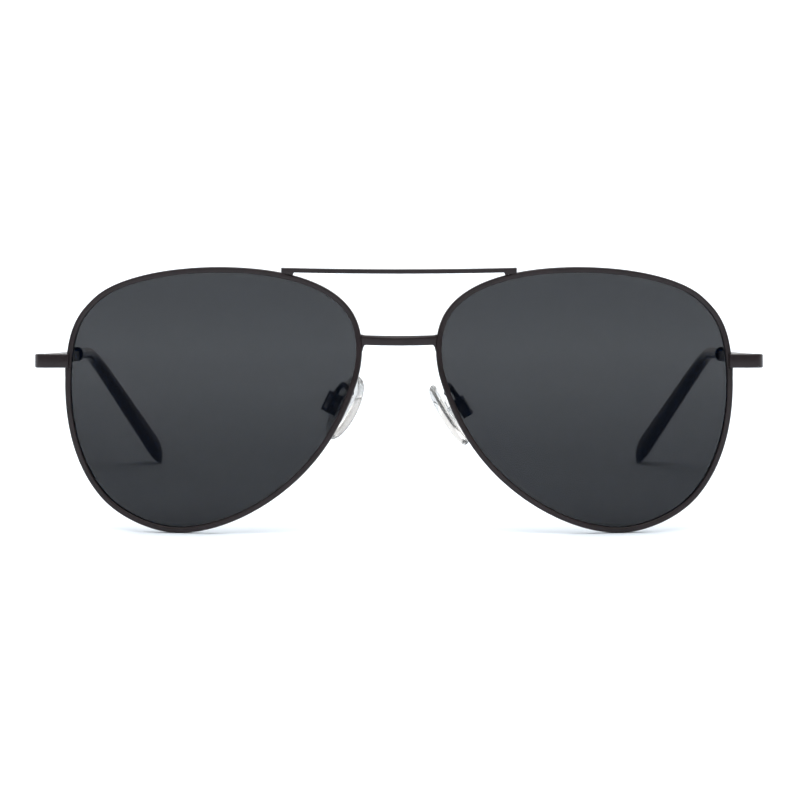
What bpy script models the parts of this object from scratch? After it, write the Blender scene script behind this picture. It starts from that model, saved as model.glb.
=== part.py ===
"""Aviator sunglasses, standing open on their rims and temple tips.

+X is the wearer's left, +Y runs from the lenses back to the temple tips and +Z is up.
The origin is on the floor, under the middle of the open glasses. Sizes are in millimetres
until place() turns them into metres. Shapes are drawn for the wearer's left side, and
side = -1 makes the mirrored copy for the right.
"""

import math

import bmesh
import bpy
from mathutils import Matrix, Vector
from mathutils.geometry import interpolate_bezier

MM = 0.001
SIDES = (("left", 1), ("right", -1))

# Placing of the front
FRONT_Y = -65.3  # the front's own zero, seen from the middle of the open glasses
CLEARANCE = 0.05  # between pieces that are brazed, pressed or screwed together
HOLE_GAP = 0.06  # round a screw in its hole
SLOT_DEPTH = 0.4  # a screw's slot, as a share of its head's height
SLOT_HALF_WIDTH = 0.12

# Lenses and rims: u runs to the temple, v up, depth back from the wearer's view
LENS_CENTRE = Vector((37.1, -4.0, 27.0))
FACE_WRAP = math.radians(5)
LENS_RADIUS = 88.0
LENS_THICKNESS = 1.8
LENS_RECESS = 0.75
LENS_RING_SCALES = (0.8, 0.5, 0.22)
RIM_WIDTH = 1.15
RIM_DEPTH = 2.0
RIM_EDGE = 0.22
RIM_DRAFT = 0.1  # how much narrower the rim is at its back
GROOVE_DEPTH = 0.55
GROOVE_HALF = 0.45
RIM_STEPS = 72
BEVEL_TIP_GAP = 0.07  # between the lens's bevel and the bottom of the groove
BEVEL_SIDE_GAP = 0.03
SPLIT_HEIGHT = 5.9
SPLIT_GAP = 0.1
# The outer outline: u, v, heading in degrees, handle before, handle after
RIM_OUTLINE = (
    (-1.1, 26.65, 0, 13.0, 11.2),
    (24.5, 20.4, -42, 5.6, 5.3),
    (30.65, 4.6, -88, 9.2, 9.5),
    (23.8, -19.75, -130, 7.9, 6.0),
    (8.0, -27.0, 180, 4.8, 7.0),
    (-15.9, -16.5, 138, 10.4, 10.0),
    (-28.4, 3.8, 107, 6.0, 4.3),
    (-27.15, 17.9, 56, 5.0, 6.8),
)

# Brow bar and bridge
BROW_HALF = 23.5
BROW_TOP = 53.46
BROW_DIP = 0.2
BROW_THICKNESS = 0.88
BROW_DEPTH = 1.9
BROW_END_Y = -0.3
BROW_BOW = 1.7
BROW_FOOT = 2.4
BROW_SOLE = 0.08  # gap under the sole
BROW_NOTCH = ((22.2, 0.0), (22.1, 0.3), (21.55, 0.25), (21.45, 0.0))  # hollow under a foot: x and lift
BRIDGE_HALF = 7.33
BRIDGE_Z = 39.05
BRIDGE_HEIGHT = 1.95
BRIDGE_DEPTH = 1.5
BRIDGE_END_Y = -0.6
BRIDGE_BOW = 2.1
BRIDGE_TAB_WIDTH = 0.35
BRIDGE_TAB_DROP = 1.4

# Rim lock, in the lens's own u and v, and depth
LOCK_INNER_U = 30.1
LOCK_OUTER_U = 31.05
LOCK_LUG_U = 32.2
LOCK_DEPTH = 2.0
LOCK_UPPER = 1.9
LOCK_LOWER = 1.7
LOCK_SCREW_U = 30.58
LOCK_SHANK = 0.26
LOCK_HEAD = 0.42
LOCK_HEAD_HEIGHT = 0.35
LOCK_THREAD = 1.3  # depth of the screw's hole in the upper block

# Hinge: x outwards, y back along the temple and z along the hinge pin
HINGE = Vector((70.5, 13.0, 33.9))
TEMPLE_SLOPE = math.radians(3.9)
STRIP_OUTER = 2.7
STRIP_THICKNESS = 1.3
STRIP_HALF = 1.4
STRIP_BEND = 1.8
STRIP_BEND_Y = -7.8
STRIP_TOE = (-4.2, -9.75)  # where the strip ends on the rim's front
STRIP_HEEL = (  # the thick end between the rim and the rim lock
    (-2.05, -8.3),
    (-2.05, -6.7),
    (-3.25, -6.7),
    (-3.25, -8.7),
    (-4.2, -8.75),
)
LEAF_HALF = 1.2
FRONT_LEAF_X = 0.75
FRONT_LEAF_Y = (-5.6, -1.3)
FRONT_WEB = (0.3, -1.6, -0.35)  # inner x, and where the webs to the knuckles start and end in y
TEMPLE_LEAF_X = (0.6, 1.08)
TEMPLE_LEAF_Y = (1.35, 5.6)
TEMPLE_WEB = (0.2, 0.3, 1.06, 1.6)
BARREL_RADIUS = 1.15
PIN_RADIUS = 0.55
PIN_HEAD = 0.82
PIN_HEAD_HEIGHT = 0.32
PIN_HEAD_GAP = 0.04
KNUCKLE_MIDDLE = 0.42
KNUCKLE_INNER = 0.47
KNUCKLE_OUTER = 1.3

# Temple: distances run along its centre line from the hinge
ARM_THICKNESS = 1.3
ARM_HEIGHTS = ((CLEARANCE, 2.6), (20.0, 2.4), (45.0, 2.2), (66.85, 2.2))
ARM_START_X = 2.05
ARM_INWARD = 0.027  # how fast the arm closes in towards the head
TIP_INWARD = 0.425  # how fast the tip does past its bend
SLEEVE_START = 67.0
SLEEVE_RISE = 0.37  # the sleeve's middle over the arm's
SLEEVE_SIZES = (  # distance, width and height
    (67.0, 2.2, 3.1),
    (72.0, 2.35, 2.35),
    (95.0, 2.7, 2.55),
    (127.3, 3.05, 5.9),
)
TIP_DOME = 4.25
TIP_DROOP = 1.9  # how far the end's middle sinks as it rounds off
CORE_END = 112.0
CORE_RADIUS = 0.55
CHANNEL_RADIUS = 0.65
BEND_START = 87.9
BEND_RADIUS = 25.1
BEND_ANGLE = math.radians(46)

# Nose pads
PAD_POSES = {  # each pad is bent to its own place: its middle, lean and splay
    "left": (Vector((9.95, 8.2, 23.1)), math.radians(31.5), math.radians(8)),
    "right": (Vector((10.85, 8.2, 24.6)), math.radians(25.5), math.radians(34)),
}
PAD_HALF_LENGTH = 7.0
PAD_HALF_WIDTH = 3.75
PAD_TAPER = 0.35
PAD_BACK = 1.0
PAD_CROWN = 1.3
PAD_STEPS = 24
PAD_PROFILE = (  # from the back to the crown: share of the outline, and height
    (0.82, -1.0),
    (0.95, -0.75),
    (1.0, -0.15),
    (0.95, 0.5),
    (0.78, 0.95),
    (0.45, 1.22),
)
INSERT_HALF = Vector((1.45, 2.8))
INSERT_THICKNESS = 0.8
TAB_HALF = Vector((0.5, 1.4))
TAB_LENGTH = 3.6
PAD_AXIS_OFFSET = 3.6  # from the pad's middle out to its screw
BOX_HALF = Vector((1.3, 2.1, 0.95))
SLOT_HALF = Vector((0.62, 1.65))
PAD_SCREW = 0.38
PAD_SCREW_HEAD = 0.65
PAD_SCREW_HEAD_HEIGHT = 0.4
WIRE_RADIUS = 0.5
WIRE_KNOTS = {  # from the rim's back over the arch towards the pad box
    "left": (
        Vector((9.6, 0.12, 28.4)),
        Vector((9.75, 2.6, 29.2)),
        Vector((10.1, 4.8, 29.6)),
        Vector((10.9, 6.7, 28.3)),
    ),
    "right": (
        Vector((9.6, 0.12, 28.4)),
        Vector((10.3, 2.6, 29.2)),
        Vector((11.2, 4.6, 29.75)),
        Vector((11.95, 5.7, 29.0)),
    ),
}


# ---------------------------------------------------------------- helpers


def make_material(name, color, roughness, metallic=0.0, alpha=1.0):
    """A Principled material."""
    material = bpy.data.materials.new(name)
    material.use_nodes = True
    shader = material.node_tree.nodes["Principled BSDF"]
    shader.inputs["Base Color"].default_value = (*color, 1.0)
    shader.inputs["Roughness"].default_value = roughness
    shader.inputs["Metallic"].default_value = metallic
    shader.inputs["Alpha"].default_value = alpha
    return material


def make_empty(name, parent=None, location=(0, 0, 0), rotation=(0, 0, 0)):
    """An empty that carries pieces; its location is in millimetres."""
    empty = bpy.data.objects.new(name, None)
    empty.empty_display_size = 0.005
    empty.location = Vector(location) * MM
    empty.rotation_euler = rotation
    empty.parent = parent
    bpy.context.collection.objects.link(empty)
    return empty


def mirrored(vector, side):
    """A location for one side."""
    return Vector((vector[0] * side, vector[1], vector[2]))


def turned(rotation, side):
    """An Euler rotation for one side."""
    return (rotation[0], rotation[1] * side, rotation[2] * side)


def solid(bm, name="solid"):
    """Turns a bmesh into an object at the origin, still in millimetres."""
    bmesh.ops.recalc_face_normals(bm, faces=bm.faces)
    mesh = bpy.data.meshes.new(name)
    bm.to_mesh(mesh)
    bm.free()
    body = bpy.data.objects.new(name, mesh)
    bpy.context.collection.objects.link(body)
    return body


def combine(body, tool, operation):
    """Adds the tool to the body or cuts it out, and then removes the tool."""
    modifier = body.modifiers.new("combine", "BOOLEAN")
    modifier.operation = operation
    modifier.object = tool
    graph = bpy.context.evaluated_depsgraph_get()
    before = body.data
    body.data = bpy.data.meshes.new_from_object(body.evaluated_get(graph))
    body.modifiers.clear()
    bpy.data.meshes.remove(before)
    bpy.data.objects.remove(tool)


def place(body, name, material, parent, side, location=(0, 0, 0), rotation=(0, 0, 0), smooth=35):
    """Names a finished solid, turns it into metres and puts it on one side of its parent."""
    mesh = body.data
    mesh.transform(Matrix.Diagonal((side * MM, MM, MM, 1.0)))
    if side < 0:
        mesh.flip_normals()
    mesh.shade_smooth()
    mesh.set_sharp_from_angle(angle=math.radians(smooth))
    mesh.materials.clear()
    mesh.materials.append(material)
    body.name = name
    mesh.name = name
    body.parent = parent
    body.location = mirrored(location, side) * MM
    body.rotation_euler = turned(rotation, side)
    return body


def loft(rings, closed=False):
    """A solid through rings of points; an open one gets a cap at both ends."""
    bm = bmesh.new()
    loops = [[bm.verts.new(point) for point in ring] for ring in rings]
    pairs = list(zip(loops, loops[1:]))
    if closed:
        pairs.append((loops[-1], loops[0]))
    for first, second in pairs:
        for i in range(len(first)):
            j = (i + 1) % len(first)
            bm.faces.new((first[i], first[j], second[j], second[i]))
    if not closed:
        bm.faces.new(loops[0])
        bm.faces.new(loops[-1])
    return solid(bm)


def domed(rings, first_point, last_point):
    """A solid through rings that closes on a single point at each end."""
    bm = bmesh.new()
    loops = [[bm.verts.new(point) for point in ring] for ring in rings]
    for first, second in zip(loops, loops[1:]):
        for i in range(len(first)):
            j = (i + 1) % len(first)
            bm.faces.new((first[i], first[j], second[j], second[i]))
    for loop, point in ((loops[0], first_point), (loops[-1], last_point)):
        tip = bm.verts.new(point)
        for i in range(len(loop)):
            bm.faces.new((loop[i], loop[(i + 1) % len(loop)], tip))
    return solid(bm)


def block(low, high):
    """A box between two corners."""
    low = Vector(low)
    high = Vector(high)
    bm = bmesh.new()
    size = Matrix.Diagonal((*(high - low), 1.0))
    bmesh.ops.create_cube(bm, size=1.0, matrix=Matrix.Translation((low + high) / 2) @ size)
    return solid(bm)


def cylinder(radius, start, end, steps=12):
    """A round bar between two points."""
    start = Vector(start)
    end = Vector(end)
    along = end - start
    turn = along.to_track_quat("Z", "Y").to_matrix().to_4x4()
    bm = bmesh.new()
    bmesh.ops.create_cone(
        bm,
        cap_ends=True,
        segments=steps,
        radius1=radius,
        radius2=radius,
        depth=along.length,
        matrix=Matrix.Translation((start + end) / 2) @ turn,
    )
    return solid(bm)


def prism(outline, low, high):
    """A flat outline in x and y, extruded along z."""
    rings = [[Vector((x, y, z)) for x, y in outline] for z in (low, high)]
    return loft(rings)


def arc(centre, radius, start, end, steps):
    """Points of an arc, with its angles in degrees."""
    angles = [math.radians(start + (end - start) * i / steps) for i in range(steps + 1)]
    return [(centre[0] + radius * math.cos(a), centre[1] + radius * math.sin(a)) for a in angles]


def slotted_screw(axis_start, axis_end, shank, head, head_height, steps=12):
    """A screw whose head sits past axis_end, with a slot across the head."""
    axis_start = Vector(axis_start)
    axis_end = Vector(axis_end)
    along = (axis_end - axis_start).normalized()
    top = axis_end + along * head_height
    screw = cylinder(shank, axis_start, (axis_end + top) / 2, steps)
    combine(screw, cylinder(head, axis_end, top, steps), "UNION")
    across = along.orthogonal().normalized()
    width = along.cross(across)
    floor = top - along * head_height * SLOT_DEPTH
    half = SLOT_HALF_WIDTH
    corners = [across * a + width * b for a, b in ((-2, -half), (2, -half), (2, half), (-2, half))]
    slot = loft([[base + corner for corner in corners] for base in (floor, top + along)])
    combine(screw, slot, "DIFFERENCE")
    return screw


# ---------------------------------------------------------------- lens outline


def outline_points():
    """The rim's outer outline, once round from the split at the temple side."""
    points = []
    for start, end in zip(RIM_OUTLINE, RIM_OUTLINE[1:] + RIM_OUTLINE[:1]):
        leave = math.radians(start[2])
        arrive = math.radians(end[2])
        first = Vector((start[0], start[1]))
        last = Vector((end[0], end[1]))
        handle_out = first + start[4] * Vector((math.cos(leave), math.sin(leave)))
        handle_in = last - end[3] * Vector((math.cos(arrive), math.sin(arrive)))
        points += interpolate_bezier(first, handle_out, handle_in, last, 40)[:-1]
    temple_side = [i for i, point in enumerate(points) if point.x > 0]
    split = min(temple_side, key=lambda i: abs(points[i].y - SPLIT_HEIGHT))
    points = points[split:] + points[:split]
    return points + points[:1]


def evenly_spaced(points, count, skip=0.0):
    """Points at equal distances along a line of points, leaving out a bit at both ends."""
    lengths = [0.0]
    for first, second in zip(points, points[1:]):
        lengths.append(lengths[-1] + (second - first).length)
    result = []
    k = 0
    for i in range(count):
        want = skip + (lengths[-1] - 2 * skip) * i / (count - 1)
        while k < len(lengths) - 2 and lengths[k + 1] < want:
            k += 1
        share = (want - lengths[k]) / (lengths[k + 1] - lengths[k])
        result.append(points[k].lerp(points[k + 1], share))
    return result


def inward_normals(points, closed):
    """Unit normals that point into the lens, for a line that runs clockwise."""
    count = len(points)
    normals = []
    for i in range(count):
        if closed:
            before = points[i - 1]
            after = points[(i + 1) % count]
        else:
            before = points[max(i - 1, 0)]
            after = points[min(i + 1, count - 1)]
        along = (after - before).normalized()
        normals.append(Vector((along.y, -along.x)))
    return normals


def sag(point):
    """How far the lens's front has curved back at a point (u, v)."""
    return LENS_RADIUS - math.sqrt(LENS_RADIUS**2 - point.x**2 - point.y**2)


def rim_top(x):
    """Height of the rim's top edge over the floor, at a place between the lens's middle and the nose."""
    crest = [point for point in outline_points() if point.y > 15]
    spots = []
    for point in crest:
        side = LENS_CENTRE.x + point.x * math.cos(FACE_WRAP) - sag(point) * math.sin(FACE_WRAP)
        spots.append((side, point.y + LENS_CENTRE.z))
    return min(spots, key=lambda spot: abs(spot[0] - x))[1]


# ---------------------------------------------------------------- front


def make_rim():
    """A grooved wire round the lens, open at the split."""
    groove = RIM_DEPTH / 2
    section = (
        (RIM_EDGE, 0),
        (RIM_WIDTH, 0),
        (RIM_WIDTH, groove - GROOVE_HALF),
        (RIM_WIDTH - GROOVE_DEPTH, groove),
        (RIM_WIDTH, groove + GROOVE_HALF),
        (RIM_WIDTH, RIM_DEPTH),
        (RIM_EDGE + RIM_DRAFT, RIM_DEPTH),
        (RIM_DRAFT, RIM_DEPTH - RIM_EDGE),
        (0, RIM_EDGE),
    )
    path = evenly_spaced(outline_points(), RIM_STEPS + 1, SPLIT_GAP / 2)
    rings = []
    for point, normal in zip(path, inward_normals(path, closed=False)):
        ring = []
        for inward, back in section:
            spot = point + normal * inward
            ring.append(Vector((spot.x, sag(point) + back, spot.y)))
        rings.append(ring)
    return loft(rings)


def make_lens():
    """A curved lens whose bevelled edge sits in the rim's groove."""
    groove = RIM_DEPTH / 2
    edge = RIM_WIDTH + CLEARANCE
    bevel_top = RIM_WIDTH - GROOVE_DEPTH + BEVEL_TIP_GAP
    path = evenly_spaced(outline_points(), RIM_STEPS + 1)[:-1]
    normals = inward_normals(path, closed=True)
    inner = [point + normal * edge for point, normal in zip(path, normals)]

    def face_ring(scale, back):
        spots = [point * scale for point in inner]
        return [Vector((spot.x, sag(spot) + back, spot.y)) for spot in spots]

    def edge_ring(inward, back):
        ring = []
        for point, normal in zip(path, normals):
            spot = point + normal * inward
            ring.append(Vector((spot.x, sag(point) + back, spot.y)))
        return ring

    back_face = LENS_RECESS + LENS_THICKNESS
    rings = [face_ring(scale, LENS_RECESS) for scale in reversed(LENS_RING_SCALES)]
    rings.append(face_ring(1.0, LENS_RECESS))
    rings.append(edge_ring(edge, groove - GROOVE_HALF + BEVEL_SIDE_GAP))
    rings.append(edge_ring(bevel_top, groove))
    rings.append(edge_ring(edge, groove + GROOVE_HALF - BEVEL_SIDE_GAP))
    rings.append(face_ring(1.0, back_face))
    rings += [face_ring(scale, back_face) for scale in LENS_RING_SCALES]
    return domed(rings, Vector((0, LENS_RECESS, 0)), Vector((0, back_face, 0)))


def lock_front():
    """Depth of the rim's back where the rim lock stands."""
    return sag(Vector((LOCK_OUTER_U, SPLIT_HEIGHT + LOCK_UPPER))) + RIM_DEPTH + CLEARANCE


def make_rim_lock_upper():
    """The closing block over the split, with a blind hole for its screw."""
    front = lock_front()
    low = SPLIT_HEIGHT + SPLIT_GAP / 2
    body = block((LOCK_INNER_U, front, low), (LOCK_LUG_U, front + LOCK_DEPTH, low + LOCK_UPPER))
    middle = front + LOCK_DEPTH / 2
    hole = cylinder(
        LOCK_SHANK + HOLE_GAP, (LOCK_SCREW_U, middle, low - 1), (LOCK_SCREW_U, middle, low + LOCK_THREAD)
    )
    combine(body, hole, "DIFFERENCE")
    return body


def make_rim_lock_lower():
    """The closing block under the split, drilled through for its screw."""
    front = lock_front()
    high = SPLIT_HEIGHT - SPLIT_GAP / 2
    body = block((LOCK_INNER_U, front, high - LOCK_LOWER), (LOCK_OUTER_U, front + LOCK_DEPTH, high))
    middle = front + LOCK_DEPTH / 2
    low = high - LOCK_LOWER
    hole = cylinder(LOCK_SHANK + HOLE_GAP, (LOCK_SCREW_U, middle, low - 1), (LOCK_SCREW_U, middle, high + 1))
    combine(body, hole, "DIFFERENCE")
    return body


def make_rim_lock_screw():
    """The screw that closes the rim lock, put in from below."""
    middle = lock_front() + LOCK_DEPTH / 2
    under = SPLIT_HEIGHT - SPLIT_GAP / 2 - LOCK_LOWER - CLEARANCE
    tip = SPLIT_HEIGHT + LOCK_THREAD - 0.1
    return slotted_screw(
        (LOCK_SCREW_U, middle, tip),
        (LOCK_SCREW_U, middle, under),
        LOCK_SHANK,
        LOCK_HEAD,
        LOCK_HEAD_HEIGHT,
    )


def bowed_bar(stations):
    """A bar across the nose: each station is x, front y, depth, bottom z, top z and end slant."""
    rings = []
    for x, front, depth, bottom, top, slant in stations:
        back_x = x - math.copysign(depth * slant, x)
        rings.append(
            [
                Vector((x, front, bottom)),
                Vector((x, front, top)),
                Vector((back_x, front + depth, top)),
                Vector((back_x, front + depth, bottom)),
            ]
        )
    return loft(rings)


def make_brow_bar():
    """The thin top bar, with a foot at each end that stands on a rim."""
    inner = BROW_HALF - BROW_FOOT
    # Distances from the middle with the lift of the foot's sole, or None on the bar
    half = [(BROW_HALF, 0.0), *BROW_NOTCH, (inner, 0.0), (inner - 0.2, None)]
    half += [(inner * share, None) for share in (0.85, 0.7, 0.5, 0.25)]
    line = half + [(0.0, None)] + [(-x, lift) for x, lift in reversed(half)]
    stations = []
    for x, lift in line:
        bow = 1 - (x / BROW_HALF) ** 2
        top = BROW_TOP - BROW_DIP * bow
        bottom = top - BROW_THICKNESS
        if lift is not None:
            bottom = rim_top(abs(x)) + BROW_SOLE + lift
        stations.append((x, BROW_END_Y - BROW_BOW * bow, BROW_DEPTH, bottom, top, 0.0))
    return bowed_bar(stations)


def make_bridge():
    """The bridge, whose ends widen into tabs that run down the rims."""
    neck = BRIDGE_HALF - BRIDGE_TAB_WIDTH
    half = [(BRIDGE_HALF, True), (neck, True), (neck - 0.25, False)]
    half += [(neck * share, False) for share in (0.8, 0.5, 0.25)]
    line = half + [(0.0, False)] + [(-x, tab) for x, tab in reversed(half)]
    stations = []
    for x, tab in line:
        bow = 1 - (x / BRIDGE_HALF) ** 2
        top = BRIDGE_Z + BRIDGE_HEIGHT / 2
        bottom = BRIDGE_Z - BRIDGE_HEIGHT / 2 - (BRIDGE_TAB_DROP if tab else 0)
        slant = math.tan(FACE_WRAP) if abs(x) == BRIDGE_HALF else 0.0
        stations.append((x, BRIDGE_END_Y - BRIDGE_BOW * bow, BRIDGE_DEPTH, bottom, top, slant))
    return bowed_bar(stations)


def make_endpiece():
    """A flat strip from the rim's front, round the corner and back to the hinge."""
    inner = STRIP_OUTER - STRIP_THICKNESS
    corner = (STRIP_OUTER - STRIP_BEND, STRIP_BEND_Y)
    outline = [STRIP_TOE]
    outline += arc(corner, STRIP_BEND, -90, 0, 6)
    outline += [(STRIP_OUTER, -CLEARANCE), (inner, -CLEARANCE)]
    outline += arc(corner, STRIP_BEND - STRIP_THICKNESS, 0, -90, 3)
    outline += STRIP_HEEL
    return prism(outline, -STRIP_HALF, STRIP_HALF)


# ---------------------------------------------------------------- hinge


def knuckle(low, high, web):
    """One hinge barrel with its web, a box in x and y that runs to the leaf's plate."""
    body = cylinder(BARREL_RADIUS, (0, 0, low), (0, 0, high), 16)
    combine(body, block((web[0], web[1], low), (web[2], web[3], high)), "UNION")
    return body


def make_front_leaf():
    """The endpiece's hinge leaf: a plate with an upper and a lower knuckle."""
    outer = STRIP_OUTER - STRIP_THICKNESS - CLEARANCE
    start, end = FRONT_LEAF_Y
    body = block((FRONT_LEAF_X, start, -LEAF_HALF), (outer, end, LEAF_HALF))
    web = (FRONT_WEB[0], FRONT_WEB[1], outer - 0.02, FRONT_WEB[2])
    combine(body, knuckle(-KNUCKLE_OUTER, -KNUCKLE_INNER, web), "UNION")
    combine(body, knuckle(KNUCKLE_INNER, KNUCKLE_OUTER, web), "UNION")
    combine(body, cylinder(PIN_RADIUS + HOLE_GAP, (0, 0, -3), (0, 0, 3), 16), "DIFFERENCE")
    sink = KNUCKLE_OUTER - PIN_HEAD_HEIGHT - PIN_HEAD_GAP
    combine(body, cylinder(PIN_HEAD + HOLE_GAP, (0, 0, sink), (0, 0, 3), 16), "DIFFERENCE")
    return body


def make_temple_leaf():
    """The temple's hinge leaf: a plate with one knuckle between the other two."""
    low, high = TEMPLE_LEAF_X
    start, end = TEMPLE_LEAF_Y
    body = block((low, start, -LEAF_HALF), (high, end, LEAF_HALF))
    combine(body, knuckle(-KNUCKLE_MIDDLE, KNUCKLE_MIDDLE, TEMPLE_WEB), "UNION")
    combine(body, cylinder(PIN_RADIUS + HOLE_GAP, (0, 0, -3), (0, 0, 3), 16), "DIFFERENCE")
    return body


def make_hinge_screw():
    """The hinge's pin, with its head sunk in the upper knuckle."""
    seat = KNUCKLE_OUTER - PIN_HEAD_HEIGHT
    return slotted_screw(
        (0, 0, -KNUCKLE_OUTER), (0, 0, seat), PIN_RADIUS, PIN_HEAD, PIN_HEAD_HEIGHT, steps=16
    )


# ---------------------------------------------------------------- temple


def temple_frame(distance):
    """Centre, sideways and upward directions of the temple, some way along it."""
    bend_length = BEND_RADIUS * BEND_ANGLE
    in_bend = min(max(distance - BEND_START, 0.0), bend_length)
    straight = max(distance - BEND_START - bend_length, 0.0)
    bend = in_bend / BEND_RADIUS
    extra = TIP_INWARD - ARM_INWARD
    x = ARM_START_X - ARM_INWARD * distance
    x -= extra * (in_bend**2 / (2 * bend_length) + straight)
    y = min(distance, BEND_START) + BEND_RADIUS * math.sin(bend) + straight * math.cos(bend)
    z = -BEND_RADIUS * (1 - math.cos(bend)) - straight * math.sin(bend)
    inward = ARM_INWARD + extra * in_bend / bend_length
    along = Vector((-inward, math.cos(bend), -math.sin(bend))).normalized()
    sideways = along.cross(Vector((0, math.sin(bend), math.cos(bend)))).normalized()
    return Vector((x, y, z)), sideways, sideways.cross(along)


def temple_ring(distance, width, height, steps, roundness=1.0, rise=0.0):
    """A ring round the temple's centre line; a low roundness squares its corners."""
    centre, sideways, up = temple_frame(distance)
    centre = centre + up * rise
    ring = []
    for i in range(steps):
        angle = 2 * math.pi * (i + 0.5) / steps
        across = math.copysign(abs(math.cos(angle)) ** roundness, math.cos(angle))
        upward = math.copysign(abs(math.sin(angle)) ** roundness, math.sin(angle))
        ring.append(centre + sideways * across * width / 2 + up * upward * height / 2)
    return ring


def make_temple_arm():
    """A flat metal arm with a shoulder, where it goes on as a round core wire inside the tip."""
    corner = math.cos(math.pi / 8)
    rings = []
    for distance, height in ARM_HEIGHTS:
        rings.append(temple_ring(distance, ARM_THICKNESS / corner, height / corner, 8, 0.45))
    core = 2 * CORE_RADIUS
    steps = 16
    core_start = SLEEVE_START - 2 * CLEARANCE
    for i in range(steps + 1):
        distance = core_start + (CORE_END - core_start) * i / steps
        rings.append(temple_ring(distance, core, core, 8, rise=SLEEVE_RISE))
    return loft(rings)


def sleeve_ring(distance, scale=1.0, drop=0.0):
    """A ring of the tip's outside, which grows from a slim oval to a paddle."""
    for start, end in zip(SLEEVE_SIZES, SLEEVE_SIZES[1:]):
        if start[0] <= distance:
            share = min((distance - start[0]) / (end[0] - start[0]), 1.0)
            width = start[1] + (end[1] - start[1]) * share
            height = start[2] + (end[2] - start[2]) * share
    return temple_ring(distance, width * scale, height * scale, 12, rise=SLEEVE_RISE - drop)


def make_temple_tip():
    """The plastic tip: a curved paddle with a blind channel for the core wire."""
    outer = []
    for start, end, steps in zip(SLEEVE_SIZES, SLEEVE_SIZES[1:], (2, 5, 12)):
        for i in range(steps):
            outer.append(sleeve_ring(start[0] + (end[0] - start[0]) * i / steps))
    dome_start = SLEEVE_SIZES[-1][0]
    for angle in (0, 20, 40, 58, 74):
        scale = math.cos(math.radians(angle))
        distance = dome_start + TIP_DOME * math.sin(math.radians(angle))
        outer.append(sleeve_ring(distance, scale, TIP_DROOP * (1 - scale)))
    steps = 20
    channel_end = CORE_END + 1.0
    bore = 2 * CHANNEL_RADIUS
    channel = []
    for i in range(steps):
        distance = channel_end - (channel_end - SLEEVE_START) * i / (steps - 1)
        channel.append(temple_ring(distance, bore, bore, 12, rise=SLEEVE_RISE))
    ends = []
    for distance, rise in ((channel_end, SLEEVE_RISE), (dome_start + TIP_DOME, SLEEVE_RISE - TIP_DROOP)):
        centre, _, up = temple_frame(distance)
        ends.append(centre + up * rise)
    return domed(channel + outer, *ends)


# ---------------------------------------------------------------- nose pads


def pad_turn(name):
    """The pad's own directions: x across the pad, y up its length and z towards the nose."""
    _, lean_angle, splay = PAD_POSES[name]
    lean = Matrix.Rotation(-lean_angle, 3, "Y")
    up = lean @ Vector((0, 0, 1))
    nose = Matrix.Rotation(-splay, 3, up) @ (lean @ Vector((-1, 0, 0)))
    across = up.cross(nose)
    return Matrix((across, up, nose)).transposed()


def pad_axis(name):
    """The middle of the pad's screw."""
    return PAD_POSES[name][0] + pad_turn(name) @ Vector((0, 0, -PAD_AXIS_OFFSET))


def make_nose_pad():
    """A soft, crowned pad with a pocket for its insert."""

    def ring(scale, z):
        points = []
        for i in range(PAD_STEPS):
            angle = 2 * math.pi * i / PAD_STEPS
            width = PAD_HALF_WIDTH + PAD_TAPER * math.sin(angle)
            points.append(
                Vector((scale * width * math.cos(angle), scale * PAD_HALF_LENGTH * math.sin(angle), z))
            )
        return points

    rings = [ring(scale, z) for scale, z in PAD_PROFILE]
    body = domed(rings, Vector((0, 0, -PAD_BACK)), Vector((0, 0, PAD_CROWN)))
    reach = INSERT_HALF + Vector((CLEARANCE, CLEARANCE))
    top = -PAD_BACK + INSERT_THICKNESS + CLEARANCE
    combine(body, block((-reach.x, -reach.y, -3), (reach.x, reach.y, top)), "DIFFERENCE")
    return body


def make_pad_insert():
    """The hard plate inside the pad, with the tab that the pad screw holds."""
    plate_back = -PAD_BACK + INSERT_THICKNESS
    body = block((-INSERT_HALF.x, -INSERT_HALF.y, -PAD_BACK), (INSERT_HALF.x, INSERT_HALF.y, plate_back))
    tab_end = -PAD_BACK - TAB_LENGTH
    combine(body, block((-TAB_HALF.x, -TAB_HALF.y, tab_end), (TAB_HALF.x, TAB_HALF.y, -0.8)), "UNION")
    hole = cylinder(PAD_SCREW + HOLE_GAP, (-3, 0, -PAD_AXIS_OFFSET), (3, 0, -PAD_AXIS_OFFSET))
    combine(body, hole, "DIFFERENCE")
    return body


def make_pad_box():
    """The open metal box round the tab."""
    axis = -PAD_AXIS_OFFSET
    body = block((-BOX_HALF.x, -BOX_HALF.y, axis - BOX_HALF.z), (BOX_HALF.x, BOX_HALF.y, axis + BOX_HALF.z))
    slot = block((-SLOT_HALF.x, -SLOT_HALF.y, axis - 3), (SLOT_HALF.x, SLOT_HALF.y, axis + 3))
    combine(body, slot, "DIFFERENCE")
    combine(body, cylinder(PAD_SCREW + HOLE_GAP, (-3, 0, axis), (3, 0, axis)), "DIFFERENCE")
    return body


def make_pad_screw():
    """The screw across the box, on which the pad rocks."""
    axis = -PAD_AXIS_OFFSET
    under_head = BOX_HALF.x + CLEARANCE
    return slotted_screw(
        (-BOX_HALF.x, 0, axis), (under_head, 0, axis), PAD_SCREW, PAD_SCREW_HEAD, PAD_SCREW_HEAD_HEIGHT
    )


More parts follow.
